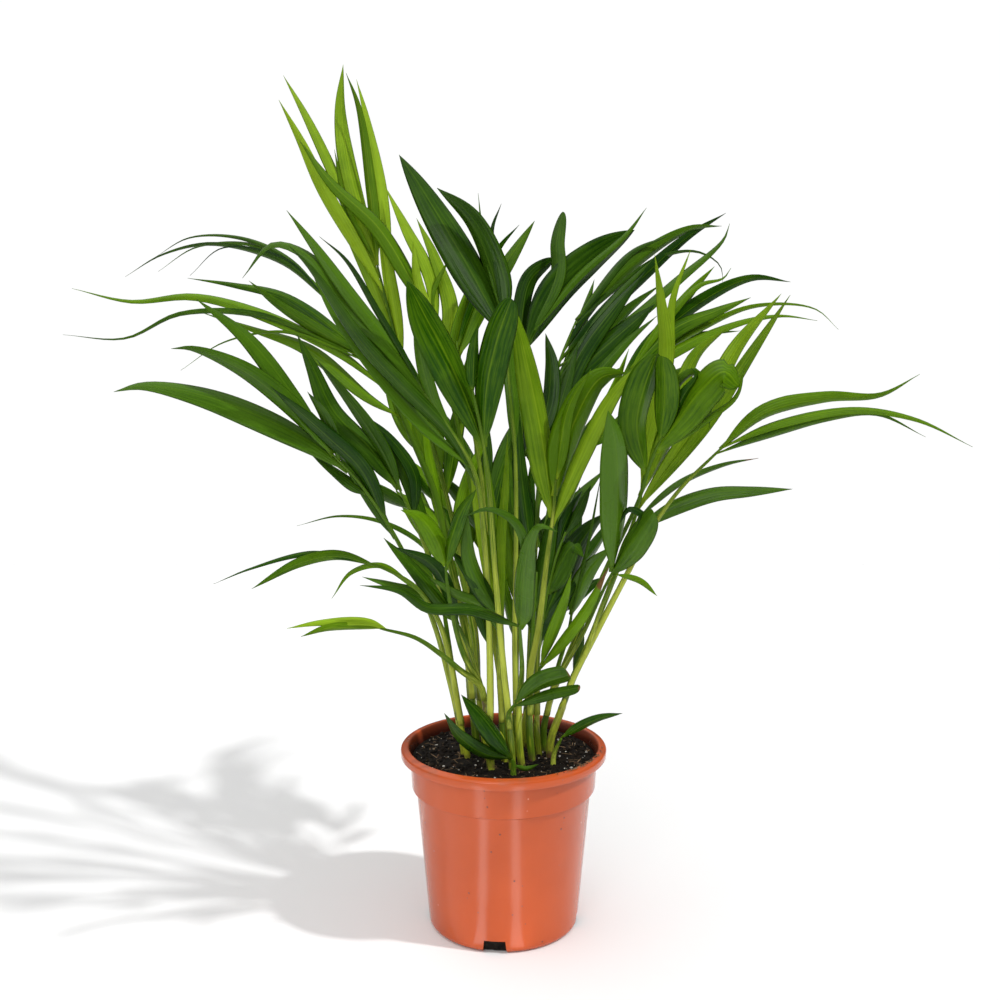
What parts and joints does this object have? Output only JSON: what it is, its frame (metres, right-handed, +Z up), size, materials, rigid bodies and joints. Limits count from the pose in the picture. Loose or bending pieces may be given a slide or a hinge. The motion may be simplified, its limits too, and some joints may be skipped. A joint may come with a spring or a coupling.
{
  "type": "potted palm",
  "caption": "Young feather palm with arching fronds on slender stalks, rising as a clump of shoots from soil in a tapered plastic grower's pot with a rolled rim.",
  "frame": {"origin": "middle of the pot's underside, on the surface that the pot stands on", "axes": "+Z up along the pot's axis, -Y towards the viewer of the plant's front, +X to that viewer's right"},
  "size_m": [0.6928, 0.4529, 0.7484],
  "materials": {
    "pot": "satin",
    "soil": "matte",
    "shoot": "satin",
    "leaf_dark": "satin",
    "leaf_mid": "satin",
    "leaf_light": "satin"
  },
  "bodies": {
    "root": {"pot": "pot", "soil": "soil", "shoot_01": "shoot", "shoot_02": "shoot", "shoot_03": "shoot", "shoot_04": "shoot", "shoot_05": "shoot", "shoot_06": "shoot", "shoot_07": "shoot", "shoot_08": "shoot", "shoot_09": "shoot", "shoot_10": "shoot", "shoot_11": "shoot", "shoot_12": "shoot", "shoot_13": "shoot", "shoot_14": "shoot", "shoot_15": "shoot", "shoot_16": "shoot", "frond_01": "leaf_light", "frond_02": "leaf_dark", "frond_03": "leaf_dark", "frond_04": "leaf_mid", "frond_05": "leaf_dark", "frond_06": "leaf_dark", "frond_07": "leaf_mid", "frond_08": "leaf_mid", "frond_09": "leaf_mid", "frond_10": "leaf_dark", "frond_11": "leaf_light", "frond_12": "leaf_dark", "frond_13": "leaf_dark", "frond_14": "leaf_mid", "frond_15": "leaf_dark", "frond_16": "leaf_mid", "frond_17": "leaf_light", "frond_18": "leaf_dark", "frond_19": "leaf_dark", "frond_20": "leaf_mid", "frond_21": "leaf_light", "frond_22": "leaf_mid", "frond_23": "leaf_light", "frond_24": "leaf_dark", "frond_25": "leaf_mid", "frond_26": "leaf_dark", "frond_27": "leaf_mid", "frond_28": "leaf_dark", "frond_29": "leaf_dark", "frond_30": "leaf_mid", "frond_31": "leaf_dark", "frond_32": "leaf_dark", "frond_33": "leaf_mid", "frond_34": "leaf_mid", "frond_35": "leaf_dark", "frond_36": "leaf_dark", "frond_37": "leaf_mid", "frond_38": "leaf_mid", "frond_39": "leaf_dark", "frond_40": "leaf_light", "frond_41": "leaf_mid", "frond_42": "leaf_dark"}
  },
  "joints": []
}
